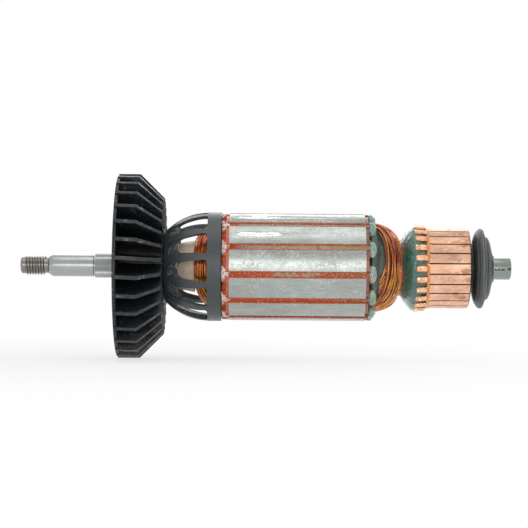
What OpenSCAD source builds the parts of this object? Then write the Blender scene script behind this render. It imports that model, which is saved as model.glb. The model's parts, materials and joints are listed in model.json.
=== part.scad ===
// Motor armature: a wound rotor with its cooling fan, winding guard, commutator and dust shield.
// X runs along the shaft towards the commutator and Z is up.
// The origin is the centre of the front bearing seat.
// Places along X end in _x, and each follows from the one before it and a length.
// Angles around the shaft start at -Y and grow towards -Z.

/* [Shaft] */
// Diameter of the front and rear bearing seats
journal_d = 8; // [7.8:0.1:8.4]
// Length of the front bearing seat
journal_len = 14.8; // [13:0.1:16]
// Length of the rear bearing seat
rear_journal_len = 6.3; // [5:0.1:9]
// Outside diameter of the pinion nut's thread
thread_d = 7; // [6.4:0.2:7.4]
// Length of the threaded nose, its tip and groove included
nose_len = 11.9; // [10:0.1:16]
// Diameter of the knurled seat that carries the fan
knurl_d = 8.66; // [8.5:0.02:9.2]
// Diameter under the core and the commutator
seat_d = 10; // [9.4:0.1:10.4]

/* [Fan] */
// Free length of the knurled seat in front of the fan
fan_gap = 8.8; // [7:0.1:12]
// Length of the fan along the shaft
fan_len = 16.7; // [15:0.1:18]
// Diameter over the blade tips
fan_d = 67; // [60:0.5:74]
// Number of blades
blade_count = 31; // [25:1:35]
// Blade thickness at the tip
blade_tip_t = 1.35; // [1.1:0.05:1.6]
// Blade thickness at the root
blade_root_t = 1; // [0.8:0.05:1.2]
// Slant of the blades across the shaft, in degrees
blade_slant = 3; // [0:0.5:4]
// Size of the chamfer on the rear corner of the blades
blade_chamfer = 8.6; // [6:0.1:10]
// Thickness of the front plate
fan_plate_t = 1.1; // [0.9:0.1:1.6]
// Diameter of the hub drum
drum_d = 31; // [29:0.5:33]

/* [Winding guard] */
// Diameter of the guard's rear band
guard_d = 39.7; // [37:0.1:42]
// Length of the guard
guard_len = 20.6; // [19.6:0.1:22]
// Radius of the arc of the domed wall, seen in section
guard_arc_r = 22.1; // [21:0.1:25]
// Wall thickness
guard_wall = 1.3; // [1:0.1:1.4]
// Number of cooling windows
window_count = 12; // [10:1:12]
// Length of a window
window_len = 10.6; // [8:0.1:11]
// Width of a window at its front end
window_front_w = 4.9; // [4:0.1:5.4]
// Width of a window at its rear end
window_rear_w = 8; // [7:0.1:8.4]

/* [Core] */
// Diameter of the lamination stack
core_d = 39; // [37:0.1:41]
// Length of the lamination stack
core_len = 48.9; // [35:0.1:65]
// Width of each slot's mouth
mouth_w = 2.54; // [2.3:0.02:2.8]
// Width of each tooth
tooth_w = 3; // [2.8:0.1:3.2]
// Thickness of the insulating end plates
plate_t = 1.1; // [0.8:0.1:1.6]
// Depth of the balancing cuts
balance_depth = 0.9; // [0.5:0.1:1.1]

/* [Windings] */
// How far the rear winding head stands out from the core's insulation
rear_head = 10.5; // [8:0.1:14]
// How far the front winding head stands out
front_head = 10.9; // [9:0.1:11.4]

/* [Commutator] */
// Diameter of the brush track
track_d = 29.12; // [26:0.04:31]
// Length of a bar behind its hook
bar_len = 15.9; // [12:0.1:22]
// Gap between two bars
bar_gap = 0.5; // [0.4:0.05:0.6]
// Width of a hook
hook_w = 1.8; // [1.4:0.1:2]
// Length of a hook in front of the bar
hook_len = 3.5; // [2.8:0.1:4]
// Length of the resin collar
resin_len = 7.2; // [6.6:0.1:9]
// Length of the neck of leads
neck_len = 2.75; // [2:0.05:4]

/* [Dust shield] */
// Diameter of the rubber shield's lip
shield_d = 29.26; // [25:0.1:33]
// Length of the shield along the shaft
shield_len = 7.3; // [6.5:0.1:9]

/* [Hidden] */
$fn = 96;
seat_gap = 0.25;
journal_r = journal_d / 2;
thread_r = thread_d / 2;
knurl_r = knurl_d / 2;
seat_r = seat_d / 2;

// The shaft and fan
nose_x = -journal_len / 2;
tip_x = nose_x - nose_len;
journal_end_x = journal_len / 2;
fan_x = journal_end_x + fan_gap;
fan_end_x = fan_x + fan_len;
fan_r = fan_d / 2;
drum_r = drum_d / 2;
drum_wall = 2.4;
boss_wall = 3.3;

// The winding guard
guard_r = guard_d / 2;
guard_x = fan_end_x + 0.4;
guard_end_x = guard_x + guard_len;
band_len = 5;
window_end_x = guard_end_x - band_len;
window_phase = 4.6;
collar_r = 8.4;

// The core, its slots and their insulation
core_r = core_d / 2;
core_x = guard_end_x + 1.8 + plate_t;
core_end_x = core_x + core_len;
plate_r = core_r - 0.6;
slot_count = 12;
slot_pitch = 360 / slot_count;
slot_phase = 8.1;
slot_floor_r = seat_r + 3.2;
slot_neck_r = core_r - 1.6;
slot_shoulder_r = core_r - 2.7;
liner_t = 0.3;
lip_t = 0.45;
liner_over = 0.3;
wedge_floor_r = core_r - 3.2;
front_head_x = core_x - plate_t - liner_over;
rear_head_x = core_end_x + plate_t + liner_over;
tube_r = seat_r + 1.2;

// The leads, resin, commutator and shield
neck_x = rear_head_x + rear_head + seat_gap;
resin_x = neck_x + neck_len;
bar_x = resin_x + resin_len;
bar_end_x = bar_x + bar_len;
body_x = resin_x + 1.4;
body_end_x = bar_end_x + 1.6;
track_r = track_d / 2;
bar_floor_r = track_r - 3.56;
bar_foot_r = track_r - 1.56;
bar_count = 24;
bar_pitch = 360 / bar_count;
bar_phase = 0.9;
bush_r = seat_r + 1.5;
hook_t = 0.9;
hook_low_r = bar_foot_r + 0.1;
hook_high_r = track_r + 1.1;
shield_x = body_end_x + 0.3;
shield_end_x = shield_x + shield_len;
rear_x = shield_end_x + rear_journal_len;

// Coils wound in pairs of opposite coils fill six nested layers of each winding head.
layer_count = 6;
coil_span = 5;
head_steps = 14;
layer_fill = 0.4;
coil_gap = 0.1;
slot_split_r = slot_floor_r + 0.62 * (wedge_floor_r - slot_floor_r);

function two_digits(k) = str(k < 10 ? "0" : "", k);
function coil_name(k) = str("coil_", two_digits(k));
function bar_name(k) = str("commutator_bar_", two_digits(k));

// Puts local Z along the shaft and local X on the radius at this angle.
module around(angle) rotate([0, 90, 0]) rotate([0, 0, angle - 90]) children();

// Turns an outline of [radius, x] points about the shaft.
module turned(outline) rotate([0, 90, 0]) rotate_extrude() polygon(outline);

// A plain ring between two radii and two places.
module ring(r0, r1, x0, x1) turned([[r0, x0], [r1, x0], [r1, x1], [r0, x1]]);

// Extrudes a [radial, sideways] outline along the shaft.
module along(x0, x1, angle)
    around(angle) translate([0, 0, x0]) linear_extrude(x1 - x0) children();

// Extrudes a [radius, x] outline sideways to a width.
module across(width, angle)
    around(angle) translate([0, width / 2, 0]) rotate([90, 0, 0]) linear_extrude(width) children();

// Extrudes a [sideways, x] outline outwards between two radii.
module outwards(r0, r1, angle)
    around(angle) translate([r0, 0, 0]) rotate([90, 0, 90]) linear_extrude(r1 - r0) children();

// A point at a radius and an angle around the shaft.
function on_ring(r, angle, x) = [x, -r * cos(angle), -r * sin(angle)];

function lerp(a, b, t) = a + (b - a) * t;
function unit(v) = v / norm(v);

// An outline with each corner rounded to its own radius.
function corner(before, p, after, r, steps = 4) =
    let (a = unit(before - p),
         b = unit(after - p),
         half = acos(a * b) / 2,
         centre = p + unit(a + b) * r / sin(half),
         start = p + a * r / tan(half) - centre,
         end = p + b * r / tan(half) - centre)
    [for (i = [0:steps]) centre + unit(lerp(start, end, i / steps)) * r];
function rounded(points, radii) =
    let (n = len(points))
    [for (i = [0:n - 1])
        each corner(points[(i + n - 1) % n], points[i], points[(i + 1) % n], radii[i])];

// A [radial, sideways] outline and its mirror image.
function mirrored(side) =
    concat(side, [for (i = [len(side) - 1:-1:0]) [side[i][0], -side[i][1]]]);

// Threaded nose, groove, front seat, knurled seat, core seat and rear seat, turned from one bar.
module shaft() {
    tip_r = thread_r - 0.4;
    groove_r = thread_r - 0.5;
    groove_len = 1.7;
    groove_x = nose_x - 1.8;
    undercut = 0.4;
    color([0.70, 0.71, 0.70])
        turned([
            [0, tip_x], [tip_r - 0.6, tip_x], [tip_r, tip_x + 0.6], [tip_r, tip_x + 1.8],
            [thread_r, tip_x + 2.2], [thread_r, groove_x - groove_len - 0.4],
            [groove_r, groove_x - groove_len], [groove_r, groove_x],
            [journal_r, nose_x], [journal_r, journal_end_x],
            [journal_r - undercut, journal_end_x],
            [journal_r - undercut, journal_end_x + 0.3],
            [knurl_r, journal_end_x + 0.5], [knurl_r, fan_end_x], [seat_r, fan_end_x],
            [seat_r, shield_end_x], [journal_r, shield_end_x], [journal_r, rear_x - 0.55],
            [journal_r - 0.5, rear_x], [0, rear_x]]);
}

// Sideways place of a blade's middle line at a radius: zero at the tip, trailing inwards.
function blade_y(r) =
    let (d = fan_r - r)
    -0.05 * d - 0.004 * d * d;

module blade_section() {
    tip = fan_r + 0.5;
    root = drum_r - 1.5;
    sections = 3;
    stations = [for (i = [0:sections]) let (t = i / sections)
                [lerp(root, tip, t), lerp(blade_root_t, blade_tip_t, t) / 2]];
    polygon(concat([for (s = stations) [s[0], blade_y(s[0]) - s[1]]],
                   [for (i = [sections:-1:0]) let (s = stations[i]) [s[0], blade_y(s[0]) + s[1]]]));
}

module blades() {
    inner_r = drum_r - 1;
    mid_x = (fan_x + fan_end_x) / 2;
    setback = 0.2;
    intersection() {
        turned([[inner_r, fan_x + setback], [fan_r, fan_x + setback],
                [fan_r, fan_end_x - blade_chamfer], [fan_r - blade_chamfer, fan_end_x],
                [inner_r, fan_end_x]]);
        for (i = [0:blade_count - 1])
            around(7.3 + i * 360 / blade_count) translate([0, 0, mid_x]) rotate([-blade_slant, 0, 0])
                translate([0, 0, -0.75 * fan_len]) linear_extrude(1.5 * fan_len) blade_section();
    }
}

module fan() {
    rim_r = fan_r - 0.5;
    ring_r = drum_r - 1.8;
    ring_len = 0.8;
    taper_len = 5.9;
    core_out_len = 9.8;
    color([0.12, 0.13, 0.15])
        difference() {
            union() {
                ring(0, rim_r, fan_x, fan_x + fan_plate_t);
                turned([[0, fan_x], [drum_r, fan_x], [drum_r, fan_end_x - taper_len],
                        [ring_r - 0.3, fan_end_x - ring_len], [ring_r, fan_end_x - ring_len],
                        [ring_r, fan_end_x], [0, fan_end_x]]);
                blades();
            }
            ring(0, knurl_r, fan_x - 1, fan_end_x + 1);
            ring(knurl_r + boss_wall, drum_r - drum_wall, fan_x - 1, fan_x + core_out_len);
        }
}

// Outside radius of the guard: an arc that runs into the straight band.
arc_end_x = window_end_x + 0.7;
function dome_r(x) =
    guard_r - guard_arc_r + sqrt(guard_arc_r * guard_arc_r - pow(max(arc_end_x - x, 0), 2));

module winding_guard() {
    arc_steps = 9;
    wall_x = guard_x + 1.4;
    outer = [for (i = [0:arc_steps])
        let (x = lerp(guard_x, arc_end_x, i / arc_steps)) [dome_r(x), x]];
    inner = [for (i = [arc_steps:-1:0])
        let (x = lerp(wall_x, arc_end_x, i / arc_steps)) [dome_r(x) - guard_wall, x]];
    front = window_front_w / 2;
    rear = window_rear_w / 2;
    window = rounded([[-front, window_end_x - window_len], [front, window_end_x - window_len],
                      [rear, window_end_x], [-rear, window_end_x]], [1.9, 1.9, 1.3, 1.3]);
    color([0.29, 0.32, 0.33])
        difference() {
            turned(concat([[collar_r, guard_x]], outer,
                          [[guard_r, guard_end_x], [guard_r - guard_wall, guard_end_x]], inner,
                          [[collar_r, wall_x]]));
            for (i = [0:window_count - 1])
                outwards(collar_r + 1.6, guard_r + 2, window_phase + i * 360 / window_count)
                    polygon(window);
        }
}

// Moulded sleeve that carries the guard and parts the front winding head from the shaft.
module front_shaft_sleeve() {
    flare_r = collar_r + 1;
    flare_x = front_head_x - front_head - seat_gap;
    color([0.88, 0.84, 0.76])
        turned([[seat_r, fan_end_x], [collar_r - 0.6, fan_end_x], [collar_r, guard_x],
                [collar_r, guard_x + 5.2], [flare_r, flare_x - 0.1], [tube_r, flare_x],
                [tube_r, core_x - plate_t], [seat_r, core_x - plate_t]]);
}

module rear_shaft_sleeve()
    color([0.45, 0.30, 0.25]) ring(seat_r, tube_r, core_end_x + plate_t, body_x);

// Half the width of a slot's body at a radius, between teeth with parallel sides.
function slot_half(r) = r * tan(slot_pitch / 2) - tooth_w / 2 / cos(slot_pitch / 2);
function slot_outline(top_r) = mirrored([
    [slot_floor_r, slot_half(slot_floor_r)], [slot_shoulder_r, slot_half(slot_shoulder_r)],
    [slot_neck_r, mouth_w / 2], [top_r, mouth_w / 2]]);

// The room that the liner leaves inside a slot.
function room_half(r) = slot_half(r) - liner_t;
function room_outline(floor_r, top_r) = mirrored([
    [floor_r, room_half(floor_r)], [slot_shoulder_r - 0.05, room_half(slot_shoulder_r - 0.05)],
    [slot_neck_r - liner_t, mouth_w / 2 - lip_t], [top_r, mouth_w / 2 - lip_t]]);

function slot_angle(i) = slot_phase + i * slot_pitch;

module slots()
    for (i = [1:slot_count])
        along(core_x - 10, core_end_x + 10, slot_angle(i)) polygon(slot_outline(core_r + 2));

module end_plate(x)
    difference() {
        ring(seat_r, plate_r, x, x + plate_t);
        slots();
    }

module front_end_plate() color([0.86, 0.40, 0.26]) end_plate(core_x - plate_t);

module rear_end_plate() color([0.72, 0.45, 0.33]) end_plate(core_end_x);

// A folded film in each slot, with a cuff that stands up in front of the end plate.
module slot_liner(angle) {
    cuff_w = 6;
    cuff_floor_r = wedge_floor_r + 0.4;
    cuff_top_r = core_r - 0.8;
    cuff_x = guard_end_x + 0.2;
    difference() {
        along(front_head_x, rear_head_x, angle) polygon(slot_outline(core_r - 0.25));
        along(front_head_x - 1, rear_head_x + 1, angle)
            polygon(room_outline(slot_floor_r + liner_t, core_r + 1));
    }
    intersection() {
        turned([[cuff_floor_r, cuff_x], [cuff_top_r - 0.4, cuff_x], [cuff_top_r, front_head_x - 0.4],
                [cuff_top_r, front_head_x + liner_over], [cuff_floor_r, front_head_x + liner_over]]);
        difference() {
            along(cuff_x - 1, core_x, angle)
                translate([cuff_floor_r - 1, -cuff_w / 2]) square([core_r, cuff_w]);
            along(front_head_x, core_x + 1, angle) polygon(room_outline(wedge_floor_r, core_r + 1));
        }
    }
}

module slot_liners() color([0.80, 0.44, 0.31]) for (i = [1:slot_count]) slot_liner(slot_angle(i));

// A wedge closes each slot, and a lump of resin caps it behind the core.
module slot_wedge(angle) {
    floor_r = wedge_floor_r + 0.2;
    lump_r = 3.3;
    lump_top_r = core_r - 0.6;
    lump_len = 3.2;
    sink = 0.5;
    along(core_x - plate_t, rear_head_x + sink, angle) polygon(room_outline(floor_r, lump_top_r));
    intersection() {
        turned([[floor_r, rear_head_x], [lump_top_r, rear_head_x],
                [lump_top_r, rear_head_x + 0.6 * lump_len],
                [lump_top_r - 0.7, rear_head_x + 0.9 * lump_len],
                [lump_top_r - 1.7, rear_head_x + lump_len],
                [floor_r, rear_head_x + 0.95 * lump_len]]);
        outwards(floor_r - 1, core_r + 1, angle) translate([0, rear_head_x + 0.2]) circle(r = lump_r);
    }
}

module slot_wedges() color([0.74, 0.72, 0.62]) for (i = [1:slot_count]) slot_wedge(slot_angle(i));

// The stack has two balancing cuts, each left by the edge of a disc cutter on one tooth.
module lamination_stack() {
    cutter_r = 40;
    edge_r = 1.2;
    cut_x = core_x + 10.8;
    color([0.70, 0.72, 0.69])
        difference() {
            ring(seat_r, core_r, core_x, core_end_x);
            slots();
            for (tooth = [-1.5, -2.5])
                around(slot_angle(tooth))
                    translate([core_r - balance_depth + edge_r + cutter_r, 0, cut_x])
                        rotate([90, 0, 0]) rotate_extrude() translate([cutter_r, 0]) circle(r = edge_r);
        }
}

// Winding heads are nested domes. Depth u runs from 0 inside to 1 outside, and v from 0 at the
// core's insulation to 1 at the crest. A point is [radius, distance from the insulation].
function head_floor_r(u) = lerp(slot_floor_r + 0.8, wedge_floor_r - 0.3, u);
function head_crest_r(u) = lerp(tube_r + 0.7, tube_r + 3.1, u);
function head_height(u, reach) = lerp(0.4 * reach, reach, u);
function dome_point(u, v, reach) = [
    lerp(head_crest_r(u), head_floor_r(u), pow(max(cos(90 * v), 0), 1.25)),
    head_height(u, reach) * sin(90 * v)];
function dome_length(u, reach) =
    1.2 * norm([head_height(u, reach), head_floor_r(u) - head_crest_r(u)]);

// Layer of a coil, from 1 inside to layer_count outside.
function coil_layer(k) = (k + 2) % layer_count + 1;

// Outline of a bundle of wires as [width, depth] shares. Three strands show on its outer face.
bundle = [[-1, 0.1], [-0.66, 1], [-0.33, 0.55], [0, 1], [0.33, 0.55], [0.66, 1], [1, 0.1],
          [0.75, -1], [0, -1], [-0.75, -1]];
crest_v = 0.69;
crest_half_v = 0.29;

// One ring of a coil's end turn, with t from -90 at its first slot to 90 at its last.
function head_ring(layer, middle, t, reach, face_x, side) =
    let (u = (layer - 0.5) / layer_count,
         half_span = coil_span * slot_pitch / 2,
         v = crest_v * cos(t),
         r = dome_point(u, v, reach)[0],
         l = dome_length(u, reach),
         half_w = lerp(room_half(head_floor_r(u)) - coil_gap, crest_half_v * l, pow(cos(t), 0.8)),
         heading = unit([r * half_span * PI / 180 * cos(t), -l * crest_v * sin(t)]))
    [for (b = bundle)
        let (w = b[0] * half_w,
             q = dome_point(u + b[1] * layer_fill / layer_count, max(v + heading[0] * w / l, 0), reach),
             turn = -heading[1] * w / r * 180 / PI)
        on_ring(q[0], middle + half_span * sin(t) + turn, face_x + side * q[1])];

// One ring of the straight part in a slot, at the bottom of the slot or above another coil.
function slot_ring(deep, angle, x, way) =
    let (r0 = deep ? slot_floor_r + liner_t + coil_gap : slot_split_r + coil_gap / 2,
         r1 = deep ? slot_split_r - coil_gap / 2 : wedge_floor_r - coil_gap)
    [for (b = bundle)
        let (r = lerp(r0, r1, (b[1] + 1) / 2))
        on_ring(r, angle + way * atan(b[0] * (room_half(r) - coil_gap) / r), x)];

// Faces of a closed loop of rings that have the same number of points each.
function loop_faces(rings, sides) = [
    for (i = [0:rings - 1], j = [0:sides - 1])
        let (a = i * sides + j,
             b = i * sides + (j + 1) % sides,
             c = ((i + 1) % rings) * sides + (j + 1) % sides,
             d = ((i + 1) % rings) * sides + j)
        each [[a, b, c], [a, c, d]]];

// A coil is one closed loop: rear end turn, last slot, front end turn and first slot.
module coil(k) {
    layer = coil_layer(k);
    first_angle = slot_angle(k);
    last_angle = slot_angle(k + coil_span);
    middle = (first_angle + last_angle) / 2;
    // The first slot is shared with the next layer out, and the last slot with the next one in.
    first_deep = layer < layer_count;
    last_deep = layer == 1;
    inside = 4;
    turns = [for (i = [0:head_steps]) -90 + 180 * i / head_steps];
    rings = concat(
        [for (t = turns) head_ring(layer, middle, t, rear_head, rear_head_x, 1)],
        [slot_ring(last_deep, last_angle, rear_head_x - inside, 1)],
        [slot_ring(last_deep, last_angle, front_head_x + inside, 1)],
        [for (t = turns) head_ring(layer, middle, -t, front_head, front_head_x, -1)],
        [slot_ring(first_deep, first_angle, front_head_x + inside, -1)],
        [slot_ring(first_deep, first_angle, rear_head_x - inside, -1)]);
    color([0.78, 0.42, 0.14])
        polyhedron([for (r = rings) each r], loop_faces(len(rings), len(bundle)), convexity = 10);
}

// The coil ends run to the bars as a fluted, slightly twisted neck.
module lead_bundle() {
    flutes = 24;
    flute_depth = 0.14;
    twist = 7;
    sides = flutes * 4;
    waist_r = tube_r + 3.8;
    mouth_r = resin_front_r - 0.1;
    rings = [for (t = [0, 0.25, 0.5, 0.75, 1]) [for (j = [0:sides - 1])
        let (angle = j * 360 / sides,
             x = lerp(neck_x, resin_x, t),
             r = lerp(waist_r, mouth_r, pow(t, 1.7)))
        on_ring(r + flute_depth * cos(angle * flutes), angle + (x - neck_x) * twist, x)]];
    last = len(rings) - 1;
    color([0.60, 0.40, 0.34])
        difference() {
            polyhedron([for (r = rings) each r], concat(
                [[for (j = [0:sides - 1]) j]],
                [for (i = [0:last - 1], j = [0:sides - 1])
                    let (a = i * sides + j,
                         b = i * sides + (j + 1) % sides)
                    each [[a, a + sides, b + sides], [a, b + sides, b]]],
                [[for (j = [sides - 1:-1:0]) last * sides + j]]), convexity = 4);
            ring(0, tube_r, neck_x - 1, resin_x + 1);
        }
}

// Resin fills the space from the neck to the bars, up to the hooks.
resin_front_r = track_r - 1.96;
module resin_collar() {
    crest_x = resin_x + 0.5 * resin_len;
    color([0.13, 0.38, 0.33])
        difference() {
            turned([[tube_r, resin_x], [resin_front_r, resin_x], [resin_front_r + 1, resin_x + 0.8],
                    [track_r - 0.06, resin_x + 1.6], [track_r + 0.64, resin_x + 2.3],
                    [track_r + 1.1, resin_x + 3], [track_r + 1.24, crest_x],
                    [track_r + 0.94, crest_x + 1], [track_r + 0.54, bar_x - 1.4],
                    [track_r + 0.14, bar_x], [bar_foot_r, bar_x], [bar_foot_r, body_x],
                    [tube_r, body_x]]);
            for (k = [1:bar_count])
                across(hook_w, bar_angle(k))
                    translate([hook_low_r, bar_x - hook_len]) square([5, hook_len + 1]);
        }
}

function bar_angle(k) = bar_phase + k * bar_pitch;

// A bar's section in the plane of the shaft, with a shoulder at its hook and a foot at each end.
shoulder_h = 0.2;
shoulder_len = 1.2;
bar_corner = 1.1;
bar_section = concat(
    [[bar_floor_r, bar_x + 2.4], [bar_floor_r + 1.3, bar_x + 1.6], [bar_foot_r, bar_x + shoulder_len],
     [bar_foot_r, bar_x], [track_r + shoulder_h / 2, bar_x], [track_r + shoulder_h, bar_x + 0.3],
     [track_r + shoulder_h, bar_x + shoulder_len], [track_r, bar_x + shoulder_len + 0.5]],
    [for (i = [0:4])
        [track_r - bar_corner * (1 - cos(i * 22.5)), bar_end_x - bar_corner * (1 - sin(i * 22.5))]],
    [[bar_floor_r + 1.4, bar_end_x], [bar_floor_r, bar_end_x - 1.2]]);

// The tang leaves the bar's end and folds back over itself on to the shoulder.
module hook_outline() {
    bend_r = (hook_high_r - hook_low_r) / 2;
    bend_x = bar_x - hook_len + bend_r;
    mid_r = hook_low_r + bend_r;
    nose_r = hook_high_r - hook_t;
    difference() {
        translate([mid_r, bend_x]) circle(r = bend_r);
        translate([mid_r, bend_x]) circle(r = bend_r - hook_t);
        translate([hook_low_r - 1, bend_x]) square([2 * bend_r + 2, bend_r + 1]);
    }
    polygon([[hook_low_r, bend_x], [hook_low_r + hook_t, bend_x], [hook_low_r + hook_t, bar_x],
             [hook_low_r, bar_x]]);
    polygon([[nose_r, bend_x], [hook_high_r, bend_x], [hook_high_r - 0.2, bar_x - 0.6],
             [track_r + shoulder_h, bar_x + 0.5], [track_r - shoulder_h, bar_x + 0.5],
             [nose_r - 0.1, bar_x - 0.4]]);
}

// Half the width of a bar at a radius. Its sides are parallel to the gaps.
function bar_half(r) = r * tan(bar_pitch / 2) - bar_gap / 2 / cos(bar_pitch / 2);

module bar_body(angle)
    intersection() {
        turned(bar_section);
        along(bar_x - 1, bar_end_x + 1, angle)
            polygon(mirrored([[bar_floor_r - 1, bar_half(bar_floor_r - 1)],
                              [track_r + 2, bar_half(track_r + 2)]]));
    }

module commutator_bar(k)
    color([0.80, 0.58, 0.46]) {
        bar_body(bar_angle(k));
        across(hook_w, bar_angle(k)) hook_outline();
    }

// The moulding fills the gaps between the bars up to a little below the brush track.
module commutator_body() {
    fin_r = track_r - 0.75;
    color([0.62, 0.60, 0.56])
        difference() {
            turned([[bush_r, body_x], [bar_foot_r, body_x], [bar_foot_r, bar_x + shoulder_len],
                    [fin_r, bar_x + shoulder_len], [fin_r, bar_end_x - 0.6], [bar_foot_r, bar_end_x],
                    [bar_foot_r - 0.4, body_end_x], [bush_r, body_end_x]]);
            for (k = [1:bar_count]) bar_body(bar_angle(k));
        }
}

module commutator_bush() color([0.72, 0.60, 0.32]) ring(seat_r, bush_r, body_x, body_end_x - 0.4);

// A soft lip and a stepped back that lead down to the bearing.
module dust_shield() {
    lip_r = shield_d / 2;
    // Steps of the outline as [depth under the lip, share of the length].
    steps = [[3.4, 0], [1.6, 0.12], [0.5, 0.2], [0, 0.3], [0.2, 0.38], [0.8, 0.44], [1.5, 0.45],
             [1.7, 0.49], [2.5, 0.51], [2.9, 0.58], [3.1, 0.64], [3.5, 0.73]];
    hub_r = seat_r + 0.9;
    color([0.30, 0.32, 0.33])
        turned(concat([[seat_r, shield_x]],
                      [for (s = steps) [lip_r - s[0], shield_x + s[1] * shield_len]],
                      [[lip_r - 6, shield_end_x - 1.35], [lip_r - 6.3, shield_end_x - 1.1],
                       [hub_r + 0.3, shield_end_x - 0.7], [hub_r, shield_end_x - 0.4],
                       [seat_r + 0.4, shield_end_x], [seat_r, shield_end_x]]));
}

shaft();
fan();
winding_guard();
front_shaft_sleeve();
front_end_plate();
lamination_stack();
slot_liners();
slot_wedges();
rear_end_plate();
rear_shaft_sleeve();
lead_bundle();
resin_collar();
commutator_body();
commutator_bush();
dust_shield();
for (k = [1:slot_count])
    coil(k);
for (k = [1:bar_count])
    commutator_bar(k);
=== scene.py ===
import json
import math
import random
import bmesh
import bpy
from mathutils import Matrix, Vector, noise


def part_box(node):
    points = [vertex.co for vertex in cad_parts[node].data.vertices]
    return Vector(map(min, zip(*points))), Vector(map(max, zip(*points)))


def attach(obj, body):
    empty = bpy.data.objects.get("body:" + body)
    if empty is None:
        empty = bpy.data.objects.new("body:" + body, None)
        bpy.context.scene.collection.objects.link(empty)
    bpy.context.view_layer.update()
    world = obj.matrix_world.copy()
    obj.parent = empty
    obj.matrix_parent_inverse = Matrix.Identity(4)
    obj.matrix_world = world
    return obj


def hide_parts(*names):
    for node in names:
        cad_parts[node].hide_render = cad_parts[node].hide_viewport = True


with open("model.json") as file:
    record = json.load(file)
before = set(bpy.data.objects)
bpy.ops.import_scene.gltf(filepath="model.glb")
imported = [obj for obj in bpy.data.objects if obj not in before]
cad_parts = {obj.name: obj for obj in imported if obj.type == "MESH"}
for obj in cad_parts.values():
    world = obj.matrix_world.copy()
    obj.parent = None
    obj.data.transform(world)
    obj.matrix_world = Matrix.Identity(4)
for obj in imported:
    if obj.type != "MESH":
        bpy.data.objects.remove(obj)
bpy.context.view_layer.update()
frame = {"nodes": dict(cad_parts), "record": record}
cadNodes = frame["nodes"]
mm = 0.001
chance = random.Random(7)
print("frame loaded:", len(cadNodes), "nodes")


def lowX(name):
    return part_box(name)[0].x / mm


def highX(name):
    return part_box(name)[1].x / mm


def radiusOf(name):
    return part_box(name)[1].z / mm


# Places along the shaft and radii, in millimetres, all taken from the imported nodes.
tipX, rearX = lowX("shaft"), highX("shaft")
fanX, fanEndX, fanR = lowX("fan"), highX("fan"), radiusOf("fan")
guardX, guardEndX, guardR = lowX("winding_guard"), highX("winding_guard"), radiusOf("winding_guard")
coreX, coreEndX, coreR = lowX("lamination_stack"), highX("lamination_stack"), radiusOf("lamination_stack")
collarX, barX = lowX("resin_collar"), highX("resin_collar")
barEndX, neckX = highX("commutator_bar_01"), lowX("lead_bundle")
shieldX, shieldEndX, shieldR = lowX("dust_shield"), highX("dust_shield"), radiusOf("dust_shield")
tubeR = radiusOf("rear_shaft_sleeve")
trackR = radiusOf("commutator_body") + 0.75
rearFaceX = highX("rear_end_plate") + 0.3
frontFaceX = lowX("front_end_plate") - 0.3
slots = {"count": 12, "pitch": 30.0, "phase": 8.1, "toothWidth": 3.0}
bars = {"count": 24, "pitch": 15.0, "phase": 0.9}

view = {"x": 69.3, "y": -712.0, "z": 1.06, "lens": 133.0, "sensor": 36.0, "roll": -0.45}
camera = bpy.data.objects.new("camera", bpy.data.cameras.new("camera"))
camera.data.lens = view["lens"]
camera.data.sensor_width = view["sensor"]
camera.data.clip_start = 0.01
camera.location = Vector((view["x"], view["y"], view["z"])) * mm
camera.rotation_euler = (math.pi / 2, math.radians(view["roll"]), 0)
bpy.context.scene.collection.objects.link(camera)
bpy.context.scene.camera = camera
bpy.context.scene.view_settings.view_transform = "Standard"


def addNode(tree, kind, **settings):
    made = tree.nodes.new("ShaderNode" + kind)
    for key, given in settings.items():
        setattr(made, key, given)
    return made


def plug(tree, given, socket):
    if isinstance(given, (int, float)):
        socket.default_value = given
    elif isinstance(given, tuple):
        socket.default_value = (*given, 1) if len(socket.default_value) == 4 else given
    elif given is not None:
        tree.links.new(given, socket)


def calc(tree, operation, first, second=None, clamp=False):
    made = addNode(tree, "Math", operation=operation, use_clamp=clamp)
    plug(tree, first, made.inputs[0])
    plug(tree, second, made.inputs[1])
    return made.outputs[0]


def seenByEye(tree):  # 1 for the rays that show the background: camera, glossy and transmission
    path = addNode(tree, "LightPath")
    both = calc(tree, "MAXIMUM", path.outputs["Is Camera Ray"], path.outputs["Is Glossy Ray"])
    return calc(tree, "MAXIMUM", both, path.outputs["Is Transmission Ray"])


studio = {"worldLight": 0.55, "floorZ": -34.0, "floorShine": 0.35, "floorSize": 30000.0, "shadowShare": 0.3, "shadowReach": 260.0}


def makeWorld():
    world = bpy.data.worlds.new("studio")
    bpy.context.scene.world = world
    world.use_nodes = True
    tree = world.node_tree
    back = tree.nodes["Background"]
    back.inputs["Color"].default_value = (1, 1, 1, 1)
    level = addNode(tree, "MapRange")
    level.inputs["To Min"].default_value = studio["worldLight"]
    level.inputs["To Max"].default_value = 1.0
    plug(tree, seenByEye(tree), level.inputs["Value"])
    plug(tree, level.outputs[0], back.inputs["Strength"])


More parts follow.
